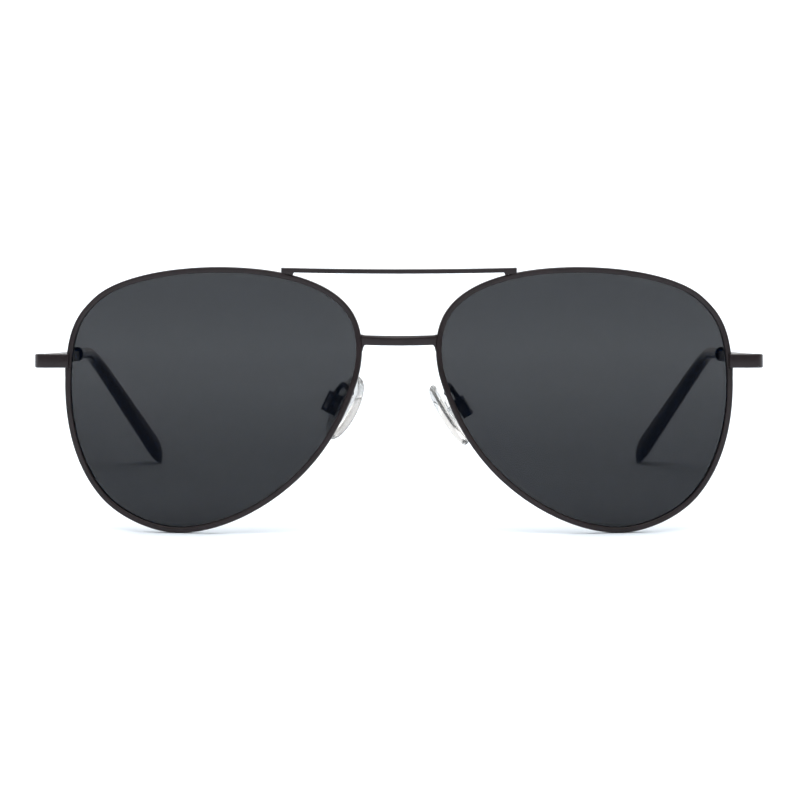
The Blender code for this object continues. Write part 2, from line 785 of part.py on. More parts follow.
def smooth_line(knots, first_tangent, last_tangent, steps):
    """Points of a smooth curve through some knots."""
    tangents = [first_tangent]
    tangents += [(after - before) / 2 for before, after in zip(knots, knots[2:])]
    tangents.append(last_tangent)
    points = []
    for i in range(len(knots) - 1):
        handle_out = knots[i] + tangents[i] / 3
        handle_in = knots[i + 1] - tangents[i + 1] / 3
        points += interpolate_bezier(knots[i], handle_out, handle_in, knots[i + 1], steps)[:-1]
    return points + [knots[-1]]


def make_pad_arm(name):
    """The bent wire that carries the pad box."""
    down = pad_turn(name) @ Vector((0, -1, 0))
    box_top = pad_axis(name) - down * (BOX_HALF.y + CLEARANCE)
    knots = [*WIRE_KNOTS[name], box_top - down * 0.5]
    points = smooth_line(knots, Vector((0, 2.5, 0)), down * 0.8, 4) + [box_top]
    rings = []
    for i, point in enumerate(points):
        along = (points[min(i + 1, len(points) - 1)] - points[max(i - 1, 0)]).normalized()
        sideways = along.cross(Vector((1, 0, 0))).normalized()
        up = sideways.cross(along)
        ring = []
        for k in range(8):
            angle = 2 * math.pi * k / 8
            ring.append(point + (sideways * math.cos(angle) + up * math.sin(angle)) * WIRE_RADIUS)
        rings.append(ring)
    return loft(rings)


# ---------------------------------------------------------------- assembly


def clear_scene():
    """Starts from an empty scene."""
    for item in list(bpy.data.objects):
        bpy.data.objects.remove(item)


def build():
    """Makes every piece and hangs it on its empty."""
    clear_scene()
    metal = make_material("dark_metal", (0.04, 0.034, 0.035), 0.45, 0.8)
    steel = make_material("screw_steel", (0.16, 0.16, 0.17), 0.35, 1.0)
    tint = make_material("lens_tint", (0.05, 0.055, 0.06), 0.05, 0.0, 0.9)
    clear = make_material("clear_silicone", (0.85, 0.85, 0.84), 0.3, 0.0, 0.6)
    insert = make_material("clear_insert", (0.8, 0.8, 0.8), 0.2, 0.0, 0.7)
    plastic = make_material("tip_plastic", (0.01, 0.011, 0.013), 0.3)

    glasses = make_empty("sunglasses", location=(0, FRONT_Y, 0))
    place(make_brow_bar(), "brow_bar", metal, glasses, 1)
    place(make_bridge(), "bridge", metal, glasses, 1)

    lens_turn = (0, 0, FACE_WRAP)
    for name, side in SIDES:
        for stem, maker, material in (
            ("rim", make_rim, metal),
            ("lens", make_lens, tint),
            ("rim_lock_upper", make_rim_lock_upper, metal),
            ("rim_lock_lower", make_rim_lock_lower, metal),
            ("rim_lock_screw", make_rim_lock_screw, steel),
        ):
            place(maker(), f"{stem}_{name}", material, glasses, side, LENS_CENTRE, lens_turn)

        hinge = make_empty(f"hinge_axis_{name}", glasses, mirrored(HINGE, side), (-TEMPLE_SLOPE, 0, 0))
        for stem, maker, material in (
            ("endpiece", make_endpiece, metal),
            ("hinge_front_leaf", make_front_leaf, metal),
            ("hinge_temple_leaf", make_temple_leaf, metal),
            ("hinge_screw", make_hinge_screw, steel),
            ("temple_arm", make_temple_arm, metal),
            ("temple_tip", make_temple_tip, plastic),
        ):
            place(maker(), f"{stem}_{name}", material, hinge, side)

        turn = pad_turn(name).to_euler()
        pivot = make_empty(
            f"pad_axis_{name}", glasses, mirrored(pad_axis(name), side), turned(turn, side)
        )
        for stem, maker, material in (
            ("nose_pad", make_nose_pad, clear),
            ("pad_insert", make_pad_insert, insert),
            ("pad_box", make_pad_box, metal),
            ("pad_screw", make_pad_screw, steel),
        ):
            place(maker(), f"{stem}_{name}", material, pivot, side, (0, 0, PAD_AXIS_OFFSET))
        place(make_pad_arm(name), f"pad_arm_{name}", metal, glasses, side)


build()
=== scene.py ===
"""The looks of the aviator sunglasses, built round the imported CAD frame.

Everything is in the frame's own axes: +X is the wearer's left, +Y runs from the lenses back to
the temple tips and +Z is up. Shapes are drawn in millimetres for the wearer's left side, and
side = -1 makes the mirrored copy. add_piece() turns them into metres.
"""

import math

import bmesh
import bpy
from mathutils import Matrix, Vector
from mathutils.geometry import interpolate_bezier


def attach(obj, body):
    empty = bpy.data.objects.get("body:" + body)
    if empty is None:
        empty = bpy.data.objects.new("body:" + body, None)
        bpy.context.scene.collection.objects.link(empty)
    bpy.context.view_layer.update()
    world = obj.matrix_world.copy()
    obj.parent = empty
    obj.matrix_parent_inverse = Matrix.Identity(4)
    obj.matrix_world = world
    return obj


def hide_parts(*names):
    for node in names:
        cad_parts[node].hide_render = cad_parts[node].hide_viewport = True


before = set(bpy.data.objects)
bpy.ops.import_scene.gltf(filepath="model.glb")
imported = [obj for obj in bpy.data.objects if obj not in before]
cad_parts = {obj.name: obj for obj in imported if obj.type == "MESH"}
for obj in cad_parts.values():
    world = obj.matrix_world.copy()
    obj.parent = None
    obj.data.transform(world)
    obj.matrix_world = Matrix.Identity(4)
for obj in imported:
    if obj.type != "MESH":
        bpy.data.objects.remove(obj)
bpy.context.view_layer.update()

MM = 0.001
SIDES = (("left", 1), ("right", -1))

# Places that the CAD part shares
FRONT_Y = -65.3
LENS_CENTRE = Vector((37.1, -4.0, 27.0))
FACE_WRAP = math.radians(5)
LENS_RADIUS = 88.0
RIM_WIDTH = 1.15
RIM_DEPTH = 2.0
RIM_DRAFT = 0.1
SPLIT_HEIGHT = 5.9
SPLIT_GAP = 0.1
RIM_OUTLINE = (  # u, v, heading in degrees, handle before, handle after
    (-1.1, 26.65, 0, 13.0, 11.2),
    (24.5, 20.4, -42, 5.6, 5.3),
    (30.65, 4.6, -88, 9.2, 9.5),
    (23.8, -19.75, -130, 7.9, 6.0),
    (8.0, -27.0, 180, 4.8, 7.0),
    (-15.9, -16.5, 138, 10.4, 10.0),
    (-28.4, 3.8, 107, 6.0, 4.3),
    (-27.15, 17.9, 56, 5.0, 6.8),
)
HINGE = Vector((70.5, 13.0, 33.9))
TEMPLE_SLOPE = math.radians(3.9)

# Rims and lenses
RIM_STEPS = 300
RIM_CORNERS = (0.34, 0.22, 0.15, 0.3)  # outer front, inner front, inner back and outer back
GROOVE_DEPTH = 0.55
GROOVE_HALF = 0.45
LENS_RECESS = 0.75
LENS_THICKNESS = 1.8
LENS_EDGE_GAP = 0.05  # between the lens and the rim's inner face
BEVEL_TIP_GAP = 0.07  # between the lens's bevel and the bottom of the groove
BEVEL_SIDE_GAP = 0.03
LENS_SCALES = (0.93, 0.85, 0.75, 0.63, 0.5, 0.36, 0.2)
PAINTED_SHADE_HEIGHT = 54.0  # the lens's alpha changes from the floor up to here, with painted shade making it darker towards the bottom
# Alpha up the lens: its own grey tint plus painted shade, heavier towards the bottom, standing in for
# the shade seen through the lower lens
TINT_AND_PAINTED_SHADE_ALPHA = ((0.09, 0.838), (0.315, 0.826), (0.5, 0.802), (0.685, 0.778), (0.88, 0.793))

# Brow bar and bridge
BROW_HALF = 23.5
BROW_TOP = 53.46
BROW_DIP = 0.2
BROW_THICKNESS = 0.88
BROW_DEPTH = 1.9
BROW_END_Y = -0.3
BROW_BOW = 1.7
BROW_CORNERS = (0.14, 0.14, 0.16, 0.2)  # front bottom, back bottom, back top and front top
BROW_FOOT = 20.9  # how far out the feet start
BROW_FOOT_EASE = 0.35
BROW_FOOT_SINK = 0.1  # how far they go into the rims
BROW_HOLLOW = (21.85, 0.28, 0.2)  # the dip under each foot: place, half width and height
BROW_END_EDGE = 0.12
BRIDGE_HALF = 7.33
BRIDGE_TOP = 40.02
BRIDGE_HEIGHT = 1.95
BRIDGE_DEPTH = 1.5
BRIDGE_END_Y = -0.6
BRIDGE_BOW = 2.1
BRIDGE_FLARE = 0.75  # how far from its end the bridge starts to widen
BRIDGE_FLARE_UP = 0.12
BRIDGE_FLARE_DOWN = 1.5
BRIDGE_SINK = 0.55  # how far its ends run into the rims
BRIDGE_CORNERS = (0.35, 0.3, 0.35, 0.7)  # front bottom, back bottom, back top and front top

# Temples
ARM_THICKNESS = 1.3
ARM_HEIGHTS = ((0.05, 2.6), (20.0, 2.4), (45.0, 2.2), (66.85, 2.2))  # distance and height
ARM_END_EDGE = ((0.05, 0.2), (0.1, 0.06), (0.25, 0.0))  # distance and inset of its rounded start
ARM_CORNERS = (0.35,) * 4
ARM_END_CORNERS = (0.3,) * 4
ARM_START_X = 2.05
ARM_INWARD = 0.027
TIP_INWARD = 0.425
SLEEVE_RISE = 0.37
SLEEVE_SIZES = (  # distance, width and height
    (67.0, 2.7, 3.3),
    (72.0, 2.35, 2.35),
    (95.0, 2.7, 2.55),
    (127.3, 3.05, 5.9),
)
SLEEVE_MOUTH = ((0.0, 0.3), (0.05, 0.14), (0.16, 0.04), (0.35, 0.0))  # distance and inset
TIP_DOME = 4.25
TIP_DROOP = 1.9  # how far the end's middle sinks as it rounds off
CORE_END = 112.0
CORE_RADIUS = 0.55
SHOULDER = 0.05  # length of the step from the arm to its core
CHANNEL_RADIUS = 0.65
CHANNEL_END = 113.0
BEND_START = 87.9
BEND_RADIUS = 25.1
BEND_ANGLE = math.radians(46)

# Nose pads
PAD_POSES = {  # each pad's middle, lean and splay
    "left": (Vector((9.95, 8.2, 23.1)), math.radians(31.5), math.radians(8)),
    "right": (Vector((10.85, 8.2, 24.6)), math.radians(25.5), math.radians(34)),
}
PAD_HALF_LENGTH = 7.0
PAD_HALF_WIDTH = 3.75
PAD_TAPER = 0.35
PAD_BACK = -1.0
PAD_CROWN = 1.3
PAD_PROFILE = (  # from the back to the crown: share of the outline, and height
    (0.6, -1.0),
    (0.82, -0.99),
    (0.9, -0.93),
    (0.955, -0.78),
    (0.99, -0.5),
    (1.0, -0.15),
    (0.985, 0.2),
    (0.94, 0.52),
    (0.87, 0.77),
    (0.77, 0.96),
    (0.64, 1.1),
    (0.48, 1.2),
    (0.3, 1.26),
    (0.12, 1.295),
)
PAD_POCKET = ((-1.5, -2.85, -3.0), (1.5, 2.85, -0.15))
PAD_AXIS_OFFSET = 3.6  # from the pad's middle out to its screw
BOX_TOP = 2.15
WIRE_RADIUS = 0.5
WIRE_FLARE = 0.14  # how much thicker the wire is where it is brazed
WIRE_FLARE_LENGTH = 0.25
WIRE_KNOTS = {  # from the rim's back over the arch towards the pad box
    "left": (
        Vector((9.6, 0.12, 28.4)),
        Vector((9.75, 2.6, 29.2)),
        Vector((10.1, 4.8, 29.6)),
        Vector((10.9, 6.7, 28.3)),
    ),
    "right": (
        Vector((9.6, 0.12, 28.4)),
        Vector((10.3, 2.6, 29.2)),
        Vector((11.2, 4.6, 29.75)),
        Vector((11.95, 5.7, 29.0)),
    ),
}

# Sheen of the lacquer
FRONT_GLOSS = 0.3
ARM_GLOSS = 0.1

# Faces that meet at less than these angles are shaded smooth
SMOOTH_ANGLE = math.radians(40)
SOFTENED_SMOOTH_ANGLE = math.radians(35)

# Edges sharper than this angle are softened on the CAD's own pieces, by these widths
BEVEL_ANGLE = math.radians(50)
LOCK_EDGE = 0.2
LOCK_SCREW_EDGE = 0.08
ENDPIECE_EDGE = 0.3
HINGE_EDGE = 0.08
HINGE_SCREW_EDGE = 0.05
INSERT_EDGE = 0.12
BOX_EDGE = 0.25
PAD_SCREW_EDGE = 0.06

# The room: its brightness from in front of the glasses to behind them, a soft box over the
# front whose brightness goes by the cosine of the angle from its middle, and a bright band
# along the horizon, which goes by height
ROOM_FRONT_TO_BACK = ((0.0, 0.13), (0.35, 0.32), (0.5, 1.2), (1.0, 1.65))
SOFT_BOX_MIDDLE = (0.0, -0.3, 0.954)
SOFT_BOX = ((0.82, 0.0), (0.92, 1.0))
SOFT_BOX_BRIGHTNESS = 3.8
HORIZON = ((0.02, 1.3), (0.07, 0.0))
FLOOR_PAINT = (0.87, 0.93, 0.99)
FLOOR_UNEVENNESS = 0.985
FLOOR_HALF = 6.0  # in metres

# The camera, which looks at the front from a little above
CAMERA_ASIDE = 0.2
CAMERA_DISTANCE = 800.0
CAMERA_HEIGHT = 101.3
AIM_HEIGHT = 27.0
FOCAL_LENGTH = 180.8


# ---------------------------------------------------------------- mesh helpers


def solid(bm, name="solid"):
    """Turns a bmesh into an object, still in millimetres."""
    bmesh.ops.recalc_face_normals(bm, faces=bm.faces)
    mesh = bpy.data.meshes.new(name)
    bm.to_mesh(mesh)
    bm.free()
    body = bpy.data.objects.new(name, mesh)
    bpy.context.scene.collection.objects.link(body)
    return body


def loft(rings, start=None, end=None):
    """A solid through rings of points. Its ends are flat, or run to a point where one is given."""
    bm = bmesh.new()
    loops = [[bm.verts.new(point) for point in ring] for ring in rings]
    for first, second in zip(loops, loops[1:]):
        for i in range(len(first)):
            j = (i + 1) % len(first)
            bm.faces.new((first[i], first[j], second[j], second[i]))
    for loop, point in ((loops[0], start), (loops[-1], end)):
        if point is None:
            bm.faces.new(loop)
            continue
        tip = bm.verts.new(point)
        for i in range(len(loop)):
            bm.faces.new((loop[i], loop[(i + 1) % len(loop)], tip))
    return solid(bm)


def apply_modifiers(piece):
    """Bakes the piece's modifiers into its mesh."""
    graph = bpy.context.evaluated_depsgraph_get()
    before = piece.data
    piece.data = bpy.data.meshes.new_from_object(piece.evaluated_get(graph))
    piece.modifiers.clear()
    bpy.data.meshes.remove(before)


def cut_out(piece, tool):
    """Cuts the tool out of the piece, and then removes the tool."""
    modifier = piece.modifiers.new("cut", "BOOLEAN")
    modifier.operation = "DIFFERENCE"
    modifier.object = tool
    apply_modifiers(piece)
    bpy.data.objects.remove(tool)


def block(low, high):
    """A box between two corners."""
    low = Vector(low)
    high = Vector(high)
    bm = bmesh.new()
    size = Matrix.Diagonal((*(high - low), 1.0))
    bmesh.ops.create_cube(bm, size=1.0, matrix=Matrix.Translation((low + high) / 2) @ size)
    return solid(bm)


def add_piece(piece, name, body, nodes, material, side=1, matrix=None):
    """Moves a finished solid into the frame, in metres, and hides the CAD nodes that it stands for."""
    mesh = piece.data
    if matrix is not None:
        mesh.transform(matrix)
    mesh.transform(Matrix.Diagonal((side, 1, 1, 1)))
    mesh.transform(Matrix.Translation((0, FRONT_Y, 0)))
    mesh.transform(Matrix.Diagonal((MM, MM, MM, 1)))
    if side < 0:
        mesh.flip_normals()
    finish_piece(piece, name, body, nodes, material, SMOOTH_ANGLE)


def finish_piece(piece, name, body, nodes, material, smooth):
    """Smooths, paints and names a piece whose mesh is in its final place, hangs it on its body and
    hides the CAD nodes it stands for.
    """
    mesh = piece.data
    mesh.shade_smooth()
    mesh.set_sharp_from_angle(angle=smooth)
    mesh.materials.clear()
    mesh.materials.append(material)
    piece.name = name
    mesh.name = name
    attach(piece, body)
    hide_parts(*nodes)


def softened(node, body, material, width):
    """A copy of a CAD node with rounded edges, which stands for it."""
    piece = bpy.data.objects.new(node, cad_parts[node].data.copy())
    bpy.context.scene.collection.objects.link(piece)
    bm = bmesh.new()
    bm.from_mesh(piece.data)
    bmesh.ops.remove_doubles(bm, verts=bm.verts, dist=1e-7)
    bmesh.ops.dissolve_limit(bm, angle_limit=math.radians(1), verts=bm.verts, edges=bm.edges)
    bm.to_mesh(piece.data)
    bm.free()
    bevel = piece.modifiers.new("edges", "BEVEL")
    bevel.width = width * MM
    bevel.segments = 3
    bevel.limit_method = "ANGLE"
    bevel.angle_limit = BEVEL_ANGLE
    bevel.use_clamp_overlap = True
    apply_modifiers(piece)
    finish_piece(piece, f"{node}_look", body, [node], material, SOFTENED_SMOOTH_ANGLE)


def rounded_box(width, height, corners, steps=5):
    """A rectangle's outline with its own radius at each corner, from the lower left, anticlockwise."""
    spots = ((-1, -1, 180), (1, -1, 270), (1, 1, 0), (-1, 1, 90))
    outline = []
    for (across, up, start), radius in zip(spots, corners):
        centre = Vector((across * (width / 2 - radius), up * (height / 2 - radius)))
        for i in range(steps + 1):
            angle = math.radians(start + 90 * i / steps)
            outline.append(centre + radius * Vector((math.cos(angle), math.sin(angle))))
    return outline


def smooth_line(knots, first_tangent, last_tangent, steps):
    """Points of a smooth curve through some knots."""
    tangents = [first_tangent]
    tangents += [(after - before) / 2 for before, after in zip(knots, knots[2:])]
    tangents.append(last_tangent)
    points = []
    for i in range(len(knots) - 1):
        handle_out = knots[i] + tangents[i] / 3
        handle_in = knots[i + 1] - tangents[i + 1] / 3
        points += interpolate_bezier(knots[i], handle_out, handle_in, knots[i + 1], steps)[:-1]
    return points + [knots[-1]]


# ---------------------------------------------------------------- materials


def fill_ramp(node, stops):
    """Sets a colour ramp's stops: each is a place and a colour or grey value."""
    elements = node.color_ramp.elements
    while len(elements) < len(stops):
        elements.new(0.5)
    for element, (place, color) in zip(elements, stops):
        element.position = place
        element.color = (*color, 1.0) if isinstance(color, tuple) else (color, color, color, 1.0)
    return node.outputs["Color"]


class Nodes:
    """A short way to write a material's node tree."""

    def __init__(self, name):
        self.material = bpy.data.materials.new(name)
        self.material.use_nodes = True
        self.tree = self.material.node_tree
        self.shader = self.tree.nodes["Principled BSDF"]
        self.place = self.add("ShaderNodeTexCoord").outputs["Object"]

    def add(self, kind, **values):
        """A node with some of its inputs set."""
        node = self.tree.nodes.new(kind)
        for key, value in values.items():
            node.inputs[key.replace("_", " ")].default_value = value
        return node

    def link(self, output, node, socket):
        """Joins an output to a node's input."""
        self.tree.links.new(output, node.inputs[socket])

    def noise(self, scale, detail=3.0, stretch=(1, 1, 1)):
        """Noise in metres, from 0 to 1."""
        mapping = self.add("ShaderNodeMapping")
        mapping.inputs["Scale"].default_value = stretch
        self.link(self.place, mapping, "Vector")
        noise = self.add("ShaderNodeTexNoise", Scale=scale, Detail=detail)
        self.link(mapping.outputs["Vector"], noise, "Vector")
        return noise.outputs["Fac"]

    def ramp(self, factor, stops):
        """Colours along a factor."""
        node = self.add("ShaderNodeValToRGB")
        self.link(factor, node, "Fac")
        return fill_ramp(node, stops)

    def bump(self, height, strength, distance):
        """Bump from a height, with its distance in millimetres."""
        node = self.add("ShaderNodeBump", Strength=strength, Distance=distance * MM)
        self.link(height, node, "Height")
        self.link(node.outputs["Normal"], self.shader, "Normal")

    def set(self, **values):
        """Sets plain values on the shader."""
        for key, value in values.items():
            self.shader.inputs[key.replace("_", " ")].default_value = value


def frame_metal(name, gloss):
    """Dark brown-black lacquer over metal, with faint wear and a sheen set by its gloss."""
    nodes = Nodes(name)
    nodes.set(Metallic=0.1, Specular_IOR_Level=gloss)
    cloud = nodes.noise(260.0)
    base = nodes.ramp(cloud, ((0.3, (0.0115, 0.0075, 0.008)), (0.7, (0.018, 0.0115, 0.0125))))
    nodes.link(base, nodes.shader, "Base Color")
    grain = nodes.noise(2600.0, 4.0)
    rough = nodes.ramp(grain, ((0.35, 0.3), (0.65, 0.4)))
    nodes.link(rough, nodes.shader, "Roughness")
    nodes.bump(grain, 0.2, 0.01)
    return nodes.material


def screw_steel():
    """Dark screw steel with a fine turned grain."""
    nodes = Nodes("screw_steel")
    nodes.set(Metallic=1.0, Specular_IOR_Level=0.5)
    grain = nodes.noise(3000.0, 2.0, (1, 1, 4))
    base = nodes.ramp(grain, ((0.3, (0.1, 0.1, 0.105)), (0.7, (0.2, 0.2, 0.21))))
    nodes.link(base, nodes.shader, "Base Color")
    nodes.link(nodes.ramp(grain, ((0.3, 0.25), (0.7, 0.4))), nodes.shader, "Roughness")
    return nodes.material


def lens_tint():
    """A grey tint that lets a little through, with painted shade that makes it darker towards the
    bottom.
    """
    nodes = Nodes("lens_tint")
    nodes.set(Roughness=0.02, IOR=1.5, Specular_IOR_Level=0.025)
    split = nodes.add("ShaderNodeSeparateXYZ")
    nodes.link(nodes.place, split, "Vector")
    height = nodes.add("ShaderNodeMapRange")
    height.inputs["From Max"].default_value = PAINTED_SHADE_HEIGHT * MM
    nodes.link(split.outputs["Z"], height, "Value")
    # painted shade: the alpha rises towards the bottom, so the lens is darker there
    alpha = nodes.ramp(height.outputs["Result"], TINT_AND_PAINTED_SHADE_ALPHA)
    nodes.link(alpha, nodes.shader, "Alpha")
    streak = nodes.noise(40.0, 2.0)
    base = nodes.ramp(streak, ((0.3, (0.0003, 0.0012, 0.004)), (0.7, (0.0005, 0.0017, 0.0052))))
    nodes.link(base, nodes.shader, "Base Color")
    return nodes.material


def clear_silicone():
    """Clear soft silicone with a faint haze."""
    nodes = Nodes("clear_silicone")
    nodes.set(Transmission_Weight=0.88, IOR=1.41, Specular_IOR_Level=0.5)
    haze = nodes.noise(500.0, 2.0)
    base = nodes.ramp(haze, ((0.3, (0.61, 0.6, 0.585)), (0.7, (0.68, 0.67, 0.655))))
    nodes.link(base, nodes.shader, "Base Color")
    nodes.link(nodes.ramp(haze, ((0.3, 0.04), (0.7, 0.1))), nodes.shader, "Roughness")
    return nodes.material


def clear_insert():
    """The clear hard plate inside the pad."""
    nodes = Nodes("clear_insert")
    nodes.set(Transmission_Weight=1.0, IOR=1.5, Specular_IOR_Level=0.5)
    haze = nodes.noise(700.0, 2.0)
    base = nodes.ramp(haze, ((0.3, (0.6, 0.6, 0.595)), (0.7, (0.68, 0.68, 0.675))))
    nodes.link(base, nodes.shader, "Base Color")
    nodes.link(nodes.ramp(haze, ((0.3, 0.03), (0.7, 0.08))), nodes.shader, "Roughness")
    return nodes.material


def tip_plastic():
    """Glossy black plastic."""
    nodes = Nodes("tip_plastic")
    nodes.set(IOR=1.49, Specular_IOR_Level=0.35)
    cloud = nodes.noise(90.0, 3.0)
    base = nodes.ramp(cloud, ((0.3, (0.004, 0.0042, 0.005)), (0.7, (0.007, 0.0073, 0.0085))))
    nodes.link(base, nodes.shader, "Base Color")
    nodes.link(nodes.ramp(cloud, ((0.3, 0.14), (0.7, 0.22))), nodes.shader, "Roughness")
    nodes.bump(nodes.noise(900.0, 2.0), 0.1, 0.02)
    return nodes.material


METAL = frame_metal("frame_metal", FRONT_GLOSS)
ARM_METAL = frame_metal("arm_metal", ARM_GLOSS)
STEEL = screw_steel()
LENS_TINT_AND_PAINTED_SHADE = lens_tint()
SILICONE = clear_silicone()
INSERT = clear_insert()
PLASTIC = tip_plastic()


# ---------------------------------------------------------------- rims and lenses


def sag(point):
    """How far the lens's front has curved back at a point (u, v)."""
    return LENS_RADIUS - math.sqrt(LENS_RADIUS**2 - point.x**2 - point.y**2)


def outline_path(count, skip=0.0):
    """Equally spaced points of the rim's outer outline, clockwise from the split."""
    points = []
    for start, end in zip(RIM_OUTLINE, RIM_OUTLINE[1:] + RIM_OUTLINE[:1]):
        leave = math.radians(start[2])
        arrive = math.radians(end[2])
        first = Vector((start[0], start[1]))
        last = Vector((end[0], end[1]))
        handle_out = first + start[4] * Vector((math.cos(leave), math.sin(leave)))
        handle_in = last - end[3] * Vector((math.cos(arrive), math.sin(arrive)))
        points += interpolate_bezier(first, handle_out, handle_in, last, 120)[:-1]
    temple_side = [i for i, point in enumerate(points) if point.x > 0]
    split = min(temple_side, key=lambda i: abs(points[i].y - SPLIT_HEIGHT))
    points = points[split:] + points[: split + 1]
    lengths = [0.0]
    for first, second in zip(points, points[1:]):
        lengths.append(lengths[-1] + (second - first).length)
    path = []
    k = 0
    for i in range(count):
        want = skip + (lengths[-1] - 2 * skip) * i / (count - 1)
        while k < len(lengths) - 2 and lengths[k + 1] < want:
            k += 1
        share = (want - lengths[k]) / (lengths[k + 1] - lengths[k])
        path.append(points[k].lerp(points[k + 1], share))
    return path


def inward_normals(points, closed):
    """Unit normals that point into the lens."""
    count = len(points)
    normals = []
    for i in range(count):
        if closed:
            along = points[(i + 1) % count] - points[i - 1]
        else:
            along = points[min(i + 1, count - 1)] - points[max(i - 1, 0)]
        along.normalize()
        normals.append(Vector((along.y, -along.x)))
    return normals


def rim_section():
    """The rim wire's outline: how far inward and how far back, with the lens groove."""
    outline = []
    for point in rounded_box(RIM_WIDTH, RIM_DEPTH, RIM_CORNERS):
        depth = point.y + RIM_DEPTH / 2
        draft = RIM_DRAFT * depth / RIM_DEPTH * (0.5 - point.x / RIM_WIDTH)
        outline.append((point.x + RIM_WIDTH / 2 + draft, depth))
    inner = [spot for spot in outline if spot[0] > RIM_WIDTH - 1e-4]
    middle = RIM_DEPTH / 2
    at = outline.index(inner[0]) + 1
    groove = [
        (RIM_WIDTH, middle - GROOVE_HALF),
        (RIM_WIDTH - GROOVE_DEPTH, middle),
        (RIM_WIDTH, middle + GROOVE_HALF),
    ]
    return outline[:at] + groove + outline[at:]


def make_rim():
    """The grooved wire round a lens."""
    section = rim_section()
    path = outline_path(RIM_STEPS, SPLIT_GAP / 2)
    rings = []
    for point, normal in zip(path, inward_normals(path, closed=False)):
        ring = []
        for inward, back in section:
            spot = point + normal * inward
            ring.append(Vector((spot.x, sag(point) + back, spot.y)))
        rings.append(ring)
    return loft(rings)


def make_lens():
    """The curved lens, bevelled into the groove."""
    path = outline_path(RIM_STEPS + 1)[:-1]
    normals = inward_normals(path, closed=True)
    edge = RIM_WIDTH + LENS_EDGE_GAP
    bevel_tip = RIM_WIDTH - GROOVE_DEPTH + BEVEL_TIP_GAP
    bevel_half = GROOVE_HALF - BEVEL_SIDE_GAP
    inner = [point + normal * edge for point, normal in zip(path, normals)]

    def face_ring(scale, back):
        spots = [point * scale for point in inner]
        return [Vector((spot.x, sag(spot) + back, spot.y)) for spot in spots]

    def edge_ring(inward, back):
        ring = []
        for point, normal in zip(path, normals):
            spot = point + normal * inward
            ring.append(Vector((spot.x, sag(point) + back, spot.y)))
        return ring

    middle = RIM_DEPTH / 2
    back_face = LENS_RECESS + LENS_THICKNESS
    rings = [face_ring(scale, LENS_RECESS) for scale in reversed(LENS_SCALES)]
    rings.append(face_ring(1.0, LENS_RECESS))
    rings.append(edge_ring(edge, middle - bevel_half))
    rings.append(edge_ring(bevel_tip, middle))
    rings.append(edge_ring(edge, middle + bevel_half))
    rings.append(face_ring(1.0, back_face))
    rings += [face_ring(scale, back_face) for scale in LENS_SCALES]
    return loft(rings, start=Vector((0, LENS_RECESS, 0)), end=Vector((0, back_face, 0)))


def rim_top(x):
    """Height of the rim's top edge at a place between the lens's middle and the nose."""
    spots = []
    for point in outline_path(900):
        if point.y > 15:
            across = LENS_CENTRE.x + point.x * math.cos(FACE_WRAP) - sag(point) * math.sin(FACE_WRAP)
            spots.append((across, point.y + LENS_CENTRE.z))
    return min(spots, key=lambda spot: abs(spot[0] - x))[1]


def add_rims():
    """Rims, lenses and rim locks."""
    for name, side in SIDES:
        turn = Matrix.Translation(LENS_CENTRE) @ Matrix.Rotation(FACE_WRAP, 4, "Z")
        rim = make_rim()
        add_piece(rim, f"rim_{name}_look", "front", [f"rim_{name}"], METAL, side, turn)
        lens = make_lens()
        add_piece(lens, f"lens_{name}_look", "front", [f"lens_{name}"], LENS_TINT_AND_PAINTED_SHADE, side, turn)
        softened(f"rim_lock_upper_{name}", "front", METAL, LOCK_EDGE)
        softened(f"rim_lock_lower_{name}", "front", METAL, LOCK_EDGE)
        softened(f"rim_lock_screw_{name}", "front", STEEL, LOCK_SCREW_EDGE)


# ---------------------------------------------------------------- brow bar and bridge


def swept_bar(stations, corners):
    """A bar across the nose: each station is x, front y, depth, bottom z and top z."""
    rings = []
    for x, front, depth, bottom, top in stations:
        outline = rounded_box(depth, top - bottom, corners, 8)
        middle = (bottom + top) / 2
        rings.append([Vector((x, front + depth / 2 + spot.x, middle + spot.y)) for spot in outline])
    return loft(rings)


def ease(share):
    """A smooth step from 0 to 1."""
    share = min(max(share, 0.0), 1.0)
    return share * share * (3 - 2 * share)


def make_brow_bar():
    """The thin bar over the nose, with its feet on the rims."""
    stations = []
    count = 120
    for i in range(count + 1):
        x = BROW_HALF * math.sin(math.pi / 2 * (2 * i / count - 1))
        bow = 1 - (x / BROW_HALF) ** 2
        top = BROW_TOP - BROW_DIP * bow
        sole = rim_top(abs(x)) - BROW_FOOT_SINK
        foot = ease((abs(x) - BROW_FOOT) / BROW_FOOT_EASE)
        hollow_at, hollow_half, hollow_height = BROW_HOLLOW
        hollow = hollow_height * math.exp(-(((abs(x) - hollow_at) / hollow_half) ** 2))
        bottom = top - BROW_THICKNESS + (sole - top + BROW_THICKNESS) * foot + hollow
        edge = BROW_END_EDGE if i in (0, count) else 0.0
        front = BROW_END_Y - BROW_BOW * bow + edge / 2
        stations.append((x, front, BROW_DEPTH - edge, bottom, top - edge))
    return swept_bar(stations, BROW_CORNERS)


